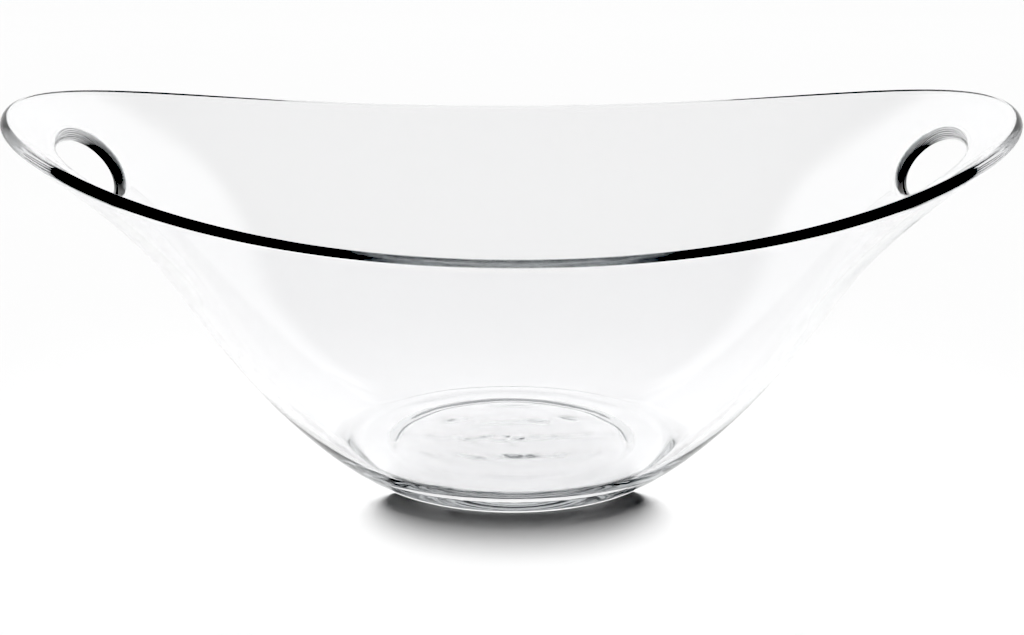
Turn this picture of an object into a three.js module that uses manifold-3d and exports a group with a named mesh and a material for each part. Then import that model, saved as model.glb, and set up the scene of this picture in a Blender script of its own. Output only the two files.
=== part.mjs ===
// A clear pressed-glass punch bowl. It is one oval pressing on a round foot: the long sides dip, the two ends rise and
// flare out into wings, and each wing has a hand hole through it. Millimetres, +Z up, +X along the bowl. The origin is
// on the table under the middle of the foot.
//
// A place in the wall is given by three numbers: the angle round the bowl from +X, the share of the way up the wall
// from the foot (0) to the rim (1), and the depth into the glass from its outside face.
import * as THREE from "three";
import { mergeVertices } from "three/addons/utils/BufferGeometryUtils.js";
import Module from "manifold-3d";

const wasm = await Module();
wasm.setup();

// The rim, along its outer edge.
const HALF_LENGTH = 188;
const HALF_WIDTH = 113;
const SIDE_HEIGHT = 109.2;
const END_HEIGHT = 133.6;
const OUTLINE_POWER = 2.1; // 2 is an ellipse; more is squarer
const LIFT_POWER = 2.1; // how the rim climbs from the sides to the ends
const RIM_BULGE = 1.5; // the fire-polished rim is rounded, and stands this far past the wall

// The foot and the floor.
const FOOT_RADIUS = 60.5;
const RECESS_RADIUS = 44; // of its flat top
const RECESS_EDGE = 48; // of its mouth
const RECESS_DEPTH = 1.6;
const FLOOR_HEIGHT = 8;
const FLOOR_RADIUS = 54;

// The wall. Each profile runs from the foot to the rim as the control points of a Bezier curve: the share of the way
// out, and the share of the rim's height. The end profile holds on the wings, and the side profile between them.
const WALL = 4.2;
const FOOT_WALL = 5.5;
const THICK_SHARE = 0.2; // the wall has thinned from FOOT_WALL to WALL by here
const END_PROFILE = [[0, 0], [0.47, 0.26], [0.61, 0.78], [0.73, 0.84], [1, 1]];
const SIDE_PROFILE = [[0, 0], [0.24, 0.1], [0.38, 0.48], [1, 1]];
const WING_POWER = 5.5; // how quickly a wing gives way to the side, going round

// A hand hole: an oval in angle and in share of the way up, and its half sizes on the glass.
const HOLE_SHARE = 0.755;
const HOLE_HALF_SHARE = 0.1;
const HOLE_HALF_ANGLE = 0.21;
const HOLE_BOW = 0.05; // its two tips lie this much further up the wall than its middle, so that it runs level
const HOLE_HALF_HEIGHT = 13.5;
const HOLE_HALF_LENGTH = 22.5;
const HOLE_LIP = 1; // rounding of its edge outside
const HOLE_LAND = 2.6; // how deep the narrow part ends, and how much wider it is by then
const HOLE_LAND_EASE = 0.5;
const HOLE_OVERRUN = 3; // how far the cutter passes the glass on both sides
const HOLE_FLARE = 4.4; // how much wider its mouth is inside

// How finely the glass is divided.
const COLUMNS = 96;
const WALL_ROWS = 12;
const RIM_ROWS = 4;
const CORNER_ROWS = 4;
const CORNER_SHARE = 0.05; // the rounded corner of the floor meets the wall here
const HOLE_COLUMNS = 48;
const TINY = 1e-4;

const GLASS = new THREE.MeshStandardMaterial({
  color: 0xe8f0f0,
  roughness: 0.03,
  metalness: 0,
  transparent: true,
  opacity: 0.3,
});

const { lerp, smoothstep } = THREE.MathUtils;

function steps(count) {
  return Array.from({ length: count + 1 }, (_, i) => i / count);
}

function signedPower(value, power) {
  return Math.sign(value) * Math.abs(value) ** power;
}

// The point of a Bezier curve at a share of the way along, by repeated halving of its control polygon.
function along(points, share) {
  let left = points;
  while (left.length > 1) {
    left = left.slice(1).map(([x, y], i) => [lerp(left[i][0], x, share), lerp(left[i][1], y, share)]);
  }
  return left[0];
}

function outside(angle, share) {
  const cos = Math.cos(angle);
  const sin = Math.sin(angle);
  const outlineX = signedPower(cos, 2 / OUTLINE_POWER);
  const outlineY = signedPower(sin, 2 / OUTLINE_POWER);
  const rimHeight = lerp(SIDE_HEIGHT, END_HEIGHT, Math.abs(outlineX) ** LIFT_POWER);
  const wing = Math.abs(cos) ** WING_POWER;
  const [endOut, endUp] = along(END_PROFILE, share);
  const [sideOut, sideUp] = along(SIDE_PROFILE, share);
  const out = lerp(sideOut, endOut, wing);
  const up = lerp(sideUp, endUp, wing);
  return new THREE.Vector3(
    lerp(FOOT_RADIUS * cos, HALF_LENGTH * outlineX, out),
    lerp(FOOT_RADIUS * sin, HALF_WIDTH * outlineY, out),
    rimHeight * up,
  );
}

// Which way the wall climbs, and which way leads from its outside face into the glass.
function directions(angle, share) {
  const climb = outside(angle, share + TINY).sub(outside(angle, share - TINY)).normalize();
  const round = outside(angle + TINY, share).sub(outside(angle - TINY, share));
  return { climb, inward: climb.clone().cross(round).normalize() };
}

function thickness(share) {
  return lerp(FOOT_WALL, WALL, smoothstep(share, 0, THICK_SHARE));
}

function wallPoint(angle, share, depth) {
  return outside(angle, share).addScaledVector(directions(angle, share).inward, depth);
}

// The rounded rim, from the wall's outside face (0) over the top to its inside face (1).
function rimPoint(angle, turn) {
  const depth = (WALL * (1 - Math.cos(Math.PI * turn))) / 2;
  const bulge = RIM_BULGE * Math.sin(Math.PI * turn);
  return wallPoint(angle, 1, depth).addScaledVector(directions(angle, 1).climb, bulge);
}

function ring(angle, radius, height) {
  return new THREE.Vector3(radius * Math.cos(angle), radius * Math.sin(angle), height);
}

// The rounded corner from the inside of the wall down to the flat floor.
function floorCorner(angle) {
  const start = wallPoint(angle, CORNER_SHARE, thickness(CORNER_SHARE));
  const above = wallPoint(angle, CORNER_SHARE + TINY, thickness(CORNER_SHARE + TINY));
  const drop = start.clone().sub(above);
  const corner = start.clone().addScaledVector(drop, (FLOOR_HEIGHT - start.z) / drop.z);
  const curve = new THREE.QuadraticBezierCurve3(start, corner, ring(angle, FLOOR_RADIUS, FLOOR_HEIGHT));
  return curve.getPoints(CORNER_ROWS).slice(1);
}

// The bowl's section at one angle, from the middle of the underside round to the middle of the floor.
function section(angle) {
  const shares = steps(WALL_ROWS);
  const insideShares = shares.map((share) => lerp(1, CORNER_SHARE, share));
  return [
    ring(angle, 0, RECESS_DEPTH),
    ring(angle, RECESS_RADIUS, RECESS_DEPTH),
    ring(angle, RECESS_EDGE, 0),
    ...shares.map((share) => outside(angle, share)),
    ...steps(RIM_ROWS).slice(1, -1).map((turn) => rimPoint(angle, turn)),
    ...insideShares.map((share) => wallPoint(angle, share, thickness(share))),
    ...floorCorner(angle),
    ring(angle, 0, FLOOR_HEIGHT),
  ];
}

// The cutter of one hand hole, as the same kind of section. Each row is a depth into the glass, and how much wider
// the hole is there than at its narrowest.
function holeSection(middle, turn) {
  const rows = [
    [-HOLE_OVERRUN, HOLE_LIP],
    [0, HOLE_LIP],
    [HOLE_LIP, 0],
    [HOLE_LAND, HOLE_LAND_EASE],
    [WALL, HOLE_FLARE],
    [WALL + HOLE_OVERRUN, HOLE_FLARE],
  ];
  const rings = rows.map(([depth, wider]) => {
    const sideways = (1 + wider / HOLE_HALF_LENGTH) * Math.sin(turn);
    const upward = (1 + wider / HOLE_HALF_HEIGHT) * Math.cos(turn);
    const share = HOLE_SHARE + HOLE_BOW * sideways ** 2 + HOLE_HALF_SHARE * upward;
    return wallPoint(middle + HOLE_HALF_ANGLE * sideways, share, depth);
  });
  const outsideCap = wallPoint(middle, HOLE_SHARE, rows[0][0]);
  const insideCap = wallPoint(middle, HOLE_SHARE, rows.at(-1)[0]);
  return [outsideCap, ...rings, insideCap];
}

// A closed solid over a lathe's grid of points, each column moved to where sectionAt puts it.
function solid(columns, sectionAt) {
  const rows = sectionAt(0).length;
  const grid = steps(rows - 1).map((height) => new THREE.Vector2(Math.sin(Math.PI * height), height));
  const geometry = new THREE.LatheGeometry(grid, columns);
  const position = geometry.getAttribute("position");
  for (let column = 0; column <= columns; column++) {
    const turn = ((column % columns) / columns) * 2 * Math.PI;
    sectionAt(turn).forEach((point, row) => position.setXYZ(column * rows + row, point.x, point.y, point.z));
  }
  geometry.deleteAttribute("normal");
  geometry.deleteAttribute("uv");
  const welded = mergeVertices(geometry, TINY);
  return new wasm.Manifold(
    new wasm.Mesh({
      numProp: 3,
      vertProperties: new Float32Array(welded.getAttribute("position").array),
      triVerts: new Uint32Array(welded.getIndex().array),
    }),
  );
}

function surfaceOf(body) {
  const mesh = body.getMesh();
  const geometry = new THREE.BufferGeometry();
  geometry.setAttribute("position", new THREE.BufferAttribute(mesh.vertProperties, 3));
  geometry.setIndex(new THREE.BufferAttribute(mesh.triVerts, 1));
  geometry.computeVertexNormals();
  return geometry;
}

function buildBowl() {
  const blank = solid(COLUMNS, section);
  const holes = [0, Math.PI].map((middle) => solid(HOLE_COLUMNS, (turn) => holeSection(middle, turn)));
  const pierced = holes.reduce((body, hole) => body.subtract(hole), blank);
  const bowl = new THREE.Mesh(surfaceOf(pierced), GLASS);
  bowl.name = "bowl";
  return bowl;
}

const punchBowl = new THREE.Group();
punchBowl.add(buildBowl());

export default punchBowl;
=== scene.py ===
"""A clear pressed-glass punch bowl on a glossy white table top.

The CAD bowl is faceted, so a fine surface of the same shape stands for it here, worked out from the same
formulas.
"""

import math

import bmesh
import bpy
import numpy as np
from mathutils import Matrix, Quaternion, Vector


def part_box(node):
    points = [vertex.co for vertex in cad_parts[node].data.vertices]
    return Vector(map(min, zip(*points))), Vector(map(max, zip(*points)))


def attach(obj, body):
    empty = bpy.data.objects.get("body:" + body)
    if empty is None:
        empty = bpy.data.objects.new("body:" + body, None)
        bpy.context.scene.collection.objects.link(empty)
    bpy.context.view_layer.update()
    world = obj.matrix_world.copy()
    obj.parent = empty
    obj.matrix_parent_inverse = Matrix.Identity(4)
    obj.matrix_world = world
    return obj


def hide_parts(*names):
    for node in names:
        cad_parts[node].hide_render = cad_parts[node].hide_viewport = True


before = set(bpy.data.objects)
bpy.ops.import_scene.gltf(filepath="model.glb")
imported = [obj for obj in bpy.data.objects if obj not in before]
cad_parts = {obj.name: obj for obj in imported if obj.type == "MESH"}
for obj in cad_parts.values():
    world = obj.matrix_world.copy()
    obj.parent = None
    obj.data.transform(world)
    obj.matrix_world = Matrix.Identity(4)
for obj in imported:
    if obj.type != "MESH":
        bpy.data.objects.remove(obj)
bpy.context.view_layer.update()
LOW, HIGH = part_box("bowl")

# One millimetre of the design, taken from the frame: its bowl is 377.153 mm long.
MM = (HIGH.x - LOW.x) / 377.153

# The rim, along its outer edge.
HALF_LENGTH = 188 * MM
HALF_WIDTH = 113 * MM
SIDE_HEIGHT = 109.2 * MM
END_HEIGHT = 133.6 * MM
OUTLINE_POWER = 2.1
LIFT_POWER = 2.1
RIM_BULGE = 1.5 * MM

# The foot and the floor.
FOOT_RADIUS = 60.5 * MM
FOOT_ROUND = 2.5 * MM
RECESS_RADIUS = 44 * MM
RECESS_EDGE = 48 * MM
RECESS_DEPTH = 1.6 * MM
RECESS_ROUND = 1.5 * MM
FLOOR_HEIGHT = 8 * MM
FLOOR_RADIUS = 54 * MM

# The wall. Each profile runs from the foot to the rim as the control points of a Bezier curve: the share of
# the way out, and the share of the rim's height. The end profile holds on the wings, and the side profile
# between them.
WALL = 4.2 * MM
FOOT_WALL = 5.5 * MM
THICK_SHARE = 0.2
END_PROFILE = [(0, 0), (0.47, 0.26), (0.61, 0.78), (0.73, 0.84), (1, 1)]
SIDE_PROFILE = [(0, 0), (0.24, 0.1), (0.38, 0.48), (1, 1)]
WING_POWER = 5.5
CORNER_SHARE = 0.05
FOOT_SHARE = 0.015

# A hand hole: an oval in angle and in share of the way up, and its half sizes on the glass.
HOLE_SHARE = 0.755
HOLE_HALF_SHARE = 0.1
HOLE_HALF_ANGLE = 0.21
HOLE_BOW = 0.05
HOLE_HALF_HEIGHT = 13.5 * MM
HOLE_HALF_LENGTH = 22.5 * MM
HOLE_LIP = 1 * MM
HOLE_FLARE = 4.4 * MM
HOLE_FLARE_DEPTH = 3 * MM

# The slight waves of pressed glass over the floor and under it: how high, and how far from crest to crest.
FLOOR_WAVE = 0.14 * MM
ACROSS_WAVE = 20 * MM
ROUND_WAVE = 11 * MM
UNDER_TURN = 2.0  # where the crests lie under the recess, and on the floor inside
FLOOR_TURN = 0.6

# How finely the glass is divided.
COLUMNS = 384
WALL_ROWS = 64
RIM_ROWS = 14
CORNER_ROWS = 16
FLOOR_RINGS = 30
HOLE_RINGS = 12
HOLE_LIP_ROWS = 5
HOLE_FLARE_ROWS = 9
FOOT_ROWS = 6  # each rounding of the foot and of the recess
FLAT_ROWS = 5
BLOCK_COLUMNS = 22  # each way from a hole's middle: the patch of wall that its rings take up
BLOCK_BOTTOM = 0.5625
BLOCK_TOP = 0.96875
TINY = 1e-4
ROUNDING = 1e-3  # two shares closer than this are the same row


def bezier(points, share):
    """The point of a Bezier curve at each share of the way along."""
    share = np.asarray(share)[..., None]
    left = [np.asarray(point, float) for point in points]
    while len(left) > 1:
        left = [a + (b - a) * share for a, b in zip(left, left[1:])]
    return left[0]


def signed_power(value, power):
    return np.sign(value) * np.abs(value) ** power


def mix(a, b, share):
    return a + (b - a) * share


def outside(angle, share):
    """Points on the wall's outside face, at angles round the bowl from +X and shares of the way up."""
    angle, share = np.broadcast_arrays(angle, share)
    cos, sin = np.cos(angle), np.sin(angle)
    outline_x = signed_power(cos, 2 / OUTLINE_POWER)
    outline_y = signed_power(sin, 2 / OUTLINE_POWER)
    rim_height = mix(SIDE_HEIGHT, END_HEIGHT, np.abs(outline_x) ** LIFT_POWER)
    wing = (np.abs(cos) ** WING_POWER)[..., None]
    out, up = np.moveaxis(mix(bezier(SIDE_PROFILE, share), bezier(END_PROFILE, share), wing), -1, 0)
    x = mix(FOOT_RADIUS * cos, HALF_LENGTH * outline_x, out)
    y = mix(FOOT_RADIUS * sin, HALF_WIDTH * outline_y, out)
    return np.stack([x, y, rim_height * up], -1)


def unit(vectors):
    return vectors / np.linalg.norm(vectors, axis=-1, keepdims=True)


def climb(angle, share):
    return unit(outside(angle, share + TINY) - outside(angle, share - TINY))


def inward(angle, share):
    around = outside(angle + TINY, share) - outside(angle - TINY, share)
    return unit(np.cross(climb(angle, share), around))


def thickness(share):
    x = np.clip(np.asarray(share) / THICK_SHARE, 0, 1)
    return mix(FOOT_WALL, WALL, x * x * (3 - 2 * x))


def wall_point(angle, share, depth):
    depth = np.asarray(depth)[..., None]
    return outside(angle, share) + inward(angle, share) * depth


def inside(angle, share):
    return wall_point(angle, share, thickness(share))


def ring(angle, radius, height):
    return np.stack([radius * np.cos(angle), radius * np.sin(angle), np.full_like(angle, height)], -1)


def waved(points, reach, turn):
    """Points near the flat floor, lifted by waves that die out at the radius reach. Turn moves the crests."""
    x, y = points[:, 0], points[:, 1]
    radius = np.hypot(x, y)
    bearing = np.arctan2(y, x)
    across = np.sin(2 * math.pi * y / ACROSS_WAVE + np.sin(2 * math.pi * x / (5 * ACROSS_WAVE) + turn) + turn)
    around = np.sin(2 * math.pi * radius / ROUND_WAVE + np.sin(3 * bearing + turn) + 2 * turn)
    height = FLOOR_WAVE * (across + 0.5 * around) * np.clip(1 - (radius / reach) ** 4, 0, 1)
    return points + np.stack([0 * x, 0 * x, height], -1)


def rounded(start, corner, end, count):
    """Rows of points on the quadratic curve from start to end that corner pulls out."""
    shares = np.linspace(0, 1, count + 1)
    return [bezier([start, corner, end], np.full(start.shape[:-1], share)) for share in shares]


class Surface:
    """A mesh in the making: rows of points, and the faces between them."""

    def __init__(self):
        self.points = []
        self.faces = []
        self.count = 0

    def add(self, points):
        points = np.asarray(points, float).reshape(-1, 3)
        self.points.append(points)
        first = self.count
        self.count += len(points)
        return np.arange(first, self.count)

    def join(self, low, high, skip=()):
        """Faces between two closed rows of the same length, apart from the columns in skip."""
        for i in range(len(low)):
            if i not in skip:
                j = (i + 1) % len(low)
                self.faces.append((low[i], low[j], high[j], high[i]))

    def strip(self, rows):
        for low, high in zip(rows, rows[1:]):
            self.join(low, high)

    def close(self, row, middle):
        """A fan from a closed row to one point."""
        centre = self.add([middle])[0]
        for i in range(len(row)):
            self.faces.append((row[i], row[(i + 1) % len(row)], centre))

    def fit(self, size):
        """Scale the points about the origin so that they span size, corner to corner."""
        points = np.concatenate(self.points)
        self.points = [points * np.asarray(size) / np.ptp(points, axis=0)]

    def build(self, name):
        mesh = bpy.data.meshes.new(name)
        faces = [tuple(int(i) for i in face) for face in self.faces]
        mesh.from_pydata(np.concatenate(self.points).tolist(), [], faces)
        work = bmesh.new()
        work.from_mesh(mesh)
        unused = [vertex for vertex in work.verts if not vertex.link_faces]
        bmesh.ops.delete(work, geom=unused, context="VERTS")
        bmesh.ops.recalc_face_normals(work, faces=work.faces)
        work.to_mesh(mesh)
        work.free()
        mesh.shade_smooth()
        piece = bpy.data.objects.new(name, mesh)
        bpy.context.scene.collection.objects.link(piece)
        return piece


ANGLES = np.arange(COLUMNS) * 2 * math.pi / COLUMNS
SHARES = np.linspace(0, 1, WALL_ROWS + 1)
BOTTOM_ROW = round(BLOCK_BOTTOM * WALL_ROWS)
TOP_ROW = round(BLOCK_TOP * WALL_ROWS)


def wall_face(surface, place, first_share):
    """One face of the wall, from first_share up to the rim, with a patch left open for each hole.

    Returns its rows of points from the bottom up, and the same rows by their number on the regular grid.
    """
    shares = [first_share, *SHARES[SHARES > first_share + ROUNDING]]
    rows = [surface.add(place(ANGLES, np.full(COLUMNS, share))) for share in shares]
    by_share = {round(share * WALL_ROWS): row for share, row in zip(shares, rows)}
    reach = range(-BLOCK_COLUMNS, BLOCK_COLUMNS)
    open_columns = {(middle + i) % COLUMNS for middle in (0, COLUMNS // 2) for i in reach}
    for low, high, share in zip(rows, rows[1:], shares):
        in_patch = BLOCK_BOTTOM - ROUNDING < share < BLOCK_TOP - ROUNDING
        surface.join(low, high, open_columns if in_patch else ())
    return rows, by_share


def patch_edge(middle):
    """The patch's edge, as (column from the hole's middle, row) pairs in order."""
    left, right = -BLOCK_COLUMNS, BLOCK_COLUMNS
    edge = [(i, BOTTOM_ROW) for i in range(left, right)]
    edge += [(right, j) for j in range(BOTTOM_ROW, TOP_ROW)]
    edge += [(i, TOP_ROW) for i in range(right, left, -1)]
    edge += [(left, j) for j in range(TOP_ROW, BOTTOM_ROW, -1)]
    return edge


def hole_outline(turn, wider):
    """Angle from the hole's middle, and share of the way up, round an outline wider than the narrowest."""
    sideways = (1 + wider / HOLE_HALF_LENGTH) * np.sin(turn)
    upward = (1 + wider / HOLE_HALF_HEIGHT) * np.cos(turn)
    return HOLE_HALF_ANGLE * sideways, HOLE_SHARE + HOLE_BOW * sideways**2 + HOLE_HALF_SHARE * upward


def hole_rings(surface, place, middle, by_share, wider):
    """Rings of points from the patch's edge in to the hole's outline on one face. The last is the outline."""
    edge = patch_edge(middle)
    column_angle = np.array([i for i, _ in edge]) * 2 * math.pi / COLUMNS
    row_share = np.array([j for _, j in edge]) / WALL_ROWS
    turn = np.arctan2(column_angle / HOLE_HALF_ANGLE, (row_share - HOLE_SHARE) / HOLE_HALF_SHARE)
    outline_angle, outline_share = hole_outline(turn, wider)
    middle_angle = middle * 2 * math.pi / COLUMNS
    rings = [np.array([by_share[j][(middle + i) % COLUMNS] for i, j in edge])]
    for step in np.linspace(0, 1, HOLE_RINGS + 1)[1:]:
        angle = mix(column_angle, outline_angle, step)
        share = mix(row_share, outline_share, step)
        rings.append(surface.add(place(middle_angle + angle, share)))
    surface.strip(rings)
    return rings[-1], turn, middle_angle


def hole_edge(surface, outer, inner, turn, middle_angle):
    """The rounded way through the glass, from the outline outside to the one inside."""
    lip = np.linspace(0, math.pi / 2, HOLE_LIP_ROWS + 1)[1:]
    flare = np.linspace(0, math.pi / 2, HOLE_FLARE_ROWS + 1)[:-1]
    lip_rows = [(HOLE_LIP * (1 - math.cos(a)), HOLE_LIP * (1 - math.sin(a))) for a in lip]
    flare_rows = [
        (WALL - HOLE_FLARE_DEPTH * (1 - math.sin(a)), HOLE_FLARE * (1 - math.cos(a)))
        for a in flare
    ]
    rows = [outer]
    for depth, wider in lip_rows + flare_rows:
        angle, share = hole_outline(turn, wider)
        rows.append(surface.add(wall_point(middle_angle + angle, share, np.full(len(turn), depth))))
    surface.strip([*rows, inner])


def glass_bowl():
    surface = Surface()
    outer_rows, outer_at = wall_face(surface, outside, FOOT_SHARE)
    inner_rows, inner_at = wall_face(surface, inside, CORNER_SHARE)
    for middle in (0, COLUMNS // 2):
        outer, turn, middle_angle = hole_rings(surface, outside, middle, outer_at, HOLE_LIP)
        inner, _, _ = hole_rings(surface, inside, middle, inner_at, HOLE_FLARE)
        hole_edge(surface, outer, inner, turn, middle_angle)
    rim_over(surface, outer_rows[-1], inner_rows[-1])
    underside(surface, outer_rows[0])
    floor_inside(surface, inner_rows[0])
    surface.fit(HIGH - LOW)
    return surface.build("glass_bowl")


def rim_over(surface, outer_row, inner_row):
    """The fire-polished rim: half round, from the outside face over to the inside face."""
    top = np.ones(COLUMNS)
    rows = [outer_row]
    for turn in np.linspace(0, math.pi, RIM_ROWS + 1)[1:-1]:
        depth = WALL * (1 - math.cos(turn)) / 2
        bulge = RIM_BULGE * math.sin(turn)
        rows.append(surface.add(wall_point(ANGLES, top, depth * top) + climb(ANGLES, top) * bulge))
    surface.strip([*rows, inner_row])


def underside(surface, wall_row):
    """From the wall round under the foot, over its flat ring and up into the recess."""
    start = outside(ANGLES, np.full(COLUMNS, FOOT_SHARE))
    flat_start = FOOT_RADIUS - FOOT_ROUND
    foot_flat = ring(ANGLES, flat_start, 0.0)
    foot = rounded(start, ring(ANGLES, FOOT_RADIUS, 0.0), foot_flat, FOOT_ROWS)
    half_way = ring(ANGLES, (RECESS_EDGE + RECESS_RADIUS) / 2, RECESS_DEPTH / 2)
    lip_start = RECESS_EDGE + RECESS_ROUND
    cove_end = RECESS_RADIUS - RECESS_ROUND
    lip = rounded(ring(ANGLES, lip_start, 0.0), ring(ANGLES, RECESS_EDGE, 0.0), half_way, FOOT_ROWS)
    cove_top = ring(ANGLES, cove_end, RECESS_DEPTH)
    cove = rounded(half_way, ring(ANGLES, RECESS_RADIUS, RECESS_DEPTH), cove_top, FOOT_ROWS)
    rows = [wall_row]
    flat = [ring(ANGLES, radius, 0.0) for radius in np.linspace(flat_start, lip_start, FLAT_ROWS)[1:-1]]
    for points in [*foot[1:], *flat, *lip, *cove[1:]]:
        rows.append(surface.add(points))
    for radius in np.linspace(cove_end, 0, FLOOR_RINGS + 1)[1:-1]:
        rows.append(surface.add(waved(ring(ANGLES, radius, RECESS_DEPTH), RECESS_RADIUS, UNDER_TURN)))
    surface.strip(rows)
    surface.close(rows[-1], waved(np.array([[0, 0, RECESS_DEPTH]]), RECESS_RADIUS, UNDER_TURN)[0])


def floor_inside(surface, wall_row):
    """From the inside of the wall round its corner to the flat floor."""
    share = np.full(COLUMNS, CORNER_SHARE)
    start = inside(ANGLES, share)
    drop = start - inside(ANGLES, share + TINY)
    corner = start + drop * ((FLOOR_HEIGHT - start[:, 2]) / drop[:, 2])[:, None]
    rows = [wall_row]
    for points in rounded(start, corner, ring(ANGLES, FLOOR_RADIUS, FLOOR_HEIGHT), CORNER_ROWS)[1:]:
        rows.append(surface.add(points))
    for radius in np.linspace(FLOOR_RADIUS, 0, FLOOR_RINGS + 1)[1:-1]:
        rows.append(surface.add(waved(ring(ANGLES, radius, FLOOR_HEIGHT), FLOOR_RADIUS, FLOOR_TURN)))
    surface.strip(rows)
    surface.close(rows[-1], waved(np.array([[0, 0, FLOOR_HEIGHT]]), FLOOR_RADIUS, FLOOR_TURN)[0])


def new_material(name):
    material = bpy.data.materials.new(name)
    material.use_nodes = True
    return material, material.node_tree.nodes, material.node_tree.links


GLASS_TINT = (0.996, 0.996, 1, 1)
GLASS_IOR = 1.5
ABSORBED = 4.0  # a metre: glass looks darker where the way through it is long, as at its edges
PASSED = (0.0, 0.05, 0.08, 1)
WAVE_SCALE = 22  # how many waves to the metre, and how high they are
WAVE_HEIGHT = 0.12 / 1000


def clear_glass():
    material, nodes, links = new_material("clear_glass")
    shader = nodes["Principled BSDF"]
    shader.inputs["Base Color"].default_value = GLASS_TINT
    shader.inputs["Roughness"].default_value = 0.0
    shader.inputs["IOR"].default_value = GLASS_IOR
    shader.inputs["Transmission Weight"].default_value = 1
    place = nodes.new("ShaderNodeTexCoord")
    waves = nodes.new("ShaderNodeTexNoise")
    waves.inputs["Scale"].default_value = WAVE_SCALE
    waves.inputs["Detail"].default_value = 1
    bump = nodes.new("ShaderNodeBump")
    bump.inputs["Distance"].default_value = WAVE_HEIGHT
    links.new(place.outputs["Object"], waves.inputs["Vector"])
    links.new(waves.outputs["Fac"], bump.inputs["Height"])
    links.new(bump.outputs["Normal"], shader.inputs["Normal"])
    absorb = nodes.new("ShaderNodeVolumeAbsorption")
    absorb.inputs["Color"].default_value = PASSED
    absorb.inputs["Density"].default_value = ABSORBED
    links.new(absorb.outputs["Volume"], nodes["Material Output"].inputs["Volume"])
    return material


TABLE_WHITE = (0.93, 0.93, 0.93, 1)
TABLE_ROUGHNESS = 0.06
TABLE_IOR = 1.25  # lower than a real gloss coat's, so that the mirror image stays faint
TABLE_HALF = 6.0
TABLE_DROP = 0.2 / 1000  # a hair of air under the foot keeps the two surfaces apart


def table_white():
    material, nodes, _ = new_material("table_white")
    shader = nodes["Principled BSDF"]
    shader.inputs["Base Color"].default_value = TABLE_WHITE
    shader.inputs["Roughness"].default_value = TABLE_ROUGHNESS
    shader.inputs["IOR"].default_value = TABLE_IOR
    return material


def table_top():
    mesh = bpy.data.meshes.new("table_top")
    half = TABLE_HALF
    corners = [(-half, -half, 0), (half, -half, 0), (half, half, 0), (-half, half, 0)]
    mesh.from_pydata(corners, [], [(0, 1, 2, 3)])
    mesh.materials.append(table_white())
    table = bpy.data.objects.new("table_top", mesh)
    bpy.context.scene.collection.objects.link(table)
    table.location.z = LOW.z - TABLE_DROP
    return table


# The studio is dark in front and bright behind. Each light in its sky fades in or out between two places,
# given as parts of a direction of length one: how far up it points, or how far to the back.
BACK_LIGHT = 1.1
BACK_FOOT = 0.95  # the back light's share near the horizon
BACK_FOOT_EDGE = (0.15, 0.32)
BACK_EDGE = (0.1, 0.35)
BACK_TOP = (0.6, 0.75)
TOP_LIGHT = 0.8
TOP_EDGE = (0.85, 0.95)
HORIZON_LIGHT = 0.5
HORIZON_EDGE = (0.06, 0.12)
FLOOR_LIGHT = 3.26
FLOOR_LIGHT_ANGLE = math.radians(46)


class Sky:
    """The world's nodes, which make its brightness from the direction."""

    def __init__(self, world):
        self.nodes = world.node_tree.nodes
        self.links = world.node_tree.links

    def math(self, operation, *inputs):
        node = self.nodes.new("ShaderNodeMath")
        node.operation = operation
        for socket, value in zip(node.inputs, inputs):
            if isinstance(value, float):
                socket.default_value = value
            else:
                self.links.new(value, socket)
        return node.outputs[0]

    def fade(self, value, edge, start, end):
        """A smooth change from start to end while value passes the two ends of edge."""
        node = self.nodes.new("ShaderNodeMapRange")
        node.interpolation_type = "SMOOTHSTEP"
        self.links.new(value, node.inputs["Value"])
        node.inputs["From Min"].default_value = edge[0]
        node.inputs["From Max"].default_value = edge[1]
        node.inputs["To Min"].default_value = start
        node.inputs["To Max"].default_value = end
        return node.outputs["Result"]


def studio_sky():
    world = bpy.data.worlds.new("studio")
    bpy.context.scene.world = world
    world.use_nodes = True
    sky = Sky(world)
    direction = sky.nodes.new("ShaderNodeTexCoord")
    split = sky.nodes.new("ShaderNodeSeparateXYZ")
    sky.links.new(direction.outputs["Generated"], split.inputs[0])
    back, up = split.outputs["Y"], split.outputs["Z"]
    panel = sky.math("MULTIPLY", sky.fade(back, BACK_EDGE, 0.0, BACK_LIGHT), sky.fade(up, BACK_TOP, 1.0, 0.0))
    panel = sky.math("MULTIPLY", panel, sky.fade(up, BACK_FOOT_EDGE, BACK_FOOT, 1.0))
    top = sky.fade(up, TOP_EDGE, 0.0, TOP_LIGHT)
    horizon = sky.fade(up, HORIZON_EDGE, HORIZON_LIGHT, 0.0)
    level = sky.math("MAXIMUM", sky.math("MAXIMUM", panel, top), horizon)
    world.cycles_visibility.diffuse = False  # the floor light alone lights the table
    background = sky.nodes["Background"]
    background.inputs["Color"].default_value = (1, 1, 1, 1)
    sky.links.new(level, background.inputs["Strength"])


def floor_light(table, flag):
    """A broad light straight down that only the table top takes, and that only the flag keeps off it."""
    light = bpy.data.lights.new("floor_light", "SUN")
    light.energy = FLOOR_LIGHT
    light.angle = FLOOR_LIGHT_ANGLE
    lamp = bpy.data.objects.new("floor_light", light)
    bpy.context.scene.collection.objects.link(lamp)
    lamp.visible_glossy = False
    lamp.visible_transmission = False
    lamp.light_linking.receiver_collection = linked("floor_light_takes", table)
    lamp.light_linking.blocker_collection = linked("floor_light_blocks", flag)


def flag_black():
    material, nodes, _ = new_material("flag_black")
    shader = nodes["Principled BSDF"]
    shader.inputs["Base Color"].default_value = (0, 0, 0, 1)
    shader.inputs["Specular IOR Level"].default_value = 0
    shader.inputs["Alpha"].default_value = FLAG_ALPHA
    return material


def linked(name, thing):
    collection = bpy.data.collections.new(name)
    collection.objects.link(thing)
    return collection


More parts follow.
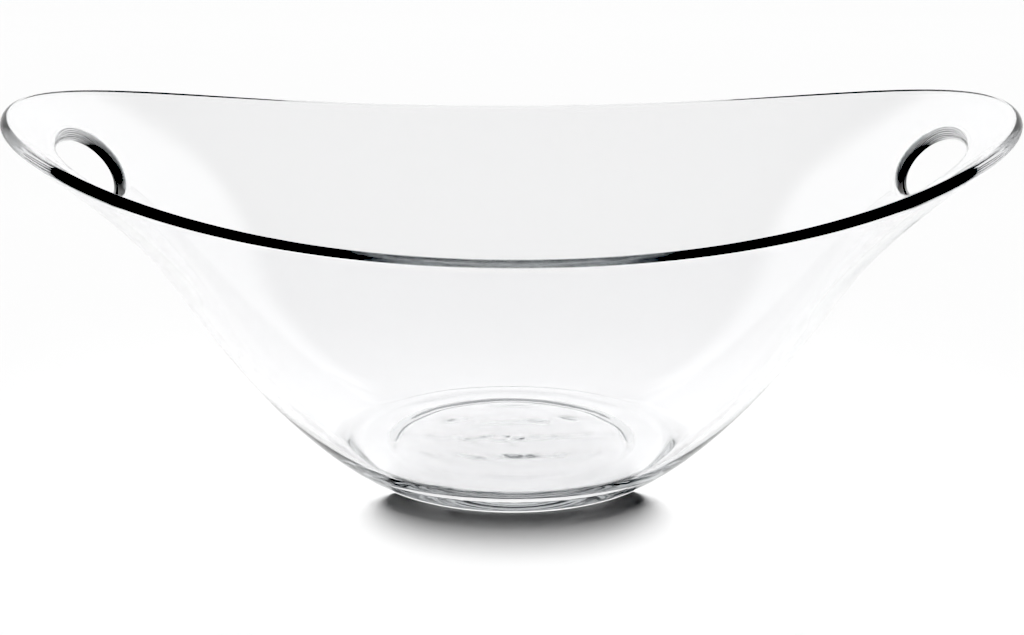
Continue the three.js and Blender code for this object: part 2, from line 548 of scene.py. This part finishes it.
# The flag: a crescent along the lower part of the wall in front, and a small disc high over the floor of the
# bowl. Neither shows in the picture or in the glass.
FLAG_SHARE = 0.63
FLAG_REACH = math.radians(47)
FLAG_COLUMNS = 48
FLAG_ROWS = 8
FLAG_ALPHA = 0.93  # it lets a little light through, so that the shadow is never quite black
DISC_RADIUS = 29 * MM  # the disc greys the table under the foot


def shadow_flag():
    """Something for the contact shadow to come from, since clear glass throws hardly any."""
    across = np.linspace(-1, 1, FLAG_COLUMNS + 1)
    angles = -math.pi / 2 + FLAG_REACH * across
    tops = FLAG_SHARE * (1 - across**2) + FOOT_SHARE
    rows = [outside(angles, tops * step) for step in np.linspace(0, 1, FLAG_ROWS + 1)]
    surface = Surface()
    columns = [surface.add(row) for row in rows]
    for low, high in zip(columns, columns[1:]):
        for i in range(FLAG_COLUMNS):
            surface.faces.append((low[i], low[i + 1], high[i + 1], high[i]))
    disc = surface.add(ring(ANGLES, DISC_RADIUS, END_HEIGHT))
    surface.close(disc, (0, 0, END_HEIGHT))
    flag = surface.build("shadow_flag")
    flag.data.materials.append(flag_black())
    flag.visible_camera = False
    flag.visible_glossy = False
    flag.visible_transmission = False
    return flag


CAMERA_DISTANCE = 0.9
CAMERA_TARGET = 0.583  # the share of the bowl's height that the distance is measured from
CAMERA_AIM = 0.4  # the share that the camera points at
CAMERA_SIDE = math.radians(-1.61)
CAMERA_ABOVE = math.radians(16.89)
CAMERA_ROLL = math.radians(0.307)
LENS = 83.4
SENSOR = 36


def camera():
    data = bpy.data.cameras.new("camera")
    data.lens = LENS
    data.sensor_width = SENSOR
    eye = bpy.data.objects.new("camera", data)
    bpy.context.scene.collection.objects.link(eye)
    height = HIGH.z - LOW.z
    level = math.cos(CAMERA_ABOVE)
    towards = Vector((math.sin(CAMERA_SIDE) * level, -math.cos(CAMERA_SIDE) * level, math.sin(CAMERA_ABOVE)))
    eye.location = Vector((0, 0, CAMERA_TARGET * height)) + towards * CAMERA_DISTANCE
    look = Vector((0, 0, CAMERA_AIM * height)) - eye.location
    eye.rotation_mode = "QUATERNION"
    eye.rotation_quaternion = look.to_track_quat("-Z", "Y") @ Quaternion((0, 0, 1), CAMERA_ROLL)
    bpy.context.scene.camera = eye


BLACK_LEVEL = 0.1
BOUNCES = 40  # how often light may turn inside the glass; more makes the rim paler
GLOSSY_BOUNCES = 32


def picture():
    scene = bpy.context.scene
    view = scene.view_settings
    view.view_transform = "Standard"
    view.use_curve_mapping = True
    view.curve_mapping.black_level = (BLACK_LEVEL, BLACK_LEVEL, BLACK_LEVEL)
    view.curve_mapping.update()
    scene.cycles.max_bounces = BOUNCES
    scene.cycles.transmission_bounces = BOUNCES
    scene.cycles.glossy_bounces = GLOSSY_BOUNCES


camera()
studio_sky()
floor_light(table_top(), shadow_flag())
picture()

bowl = glass_bowl()
bowl.data.materials.append(clear_glass())
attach(bowl, "root")
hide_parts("bowl")
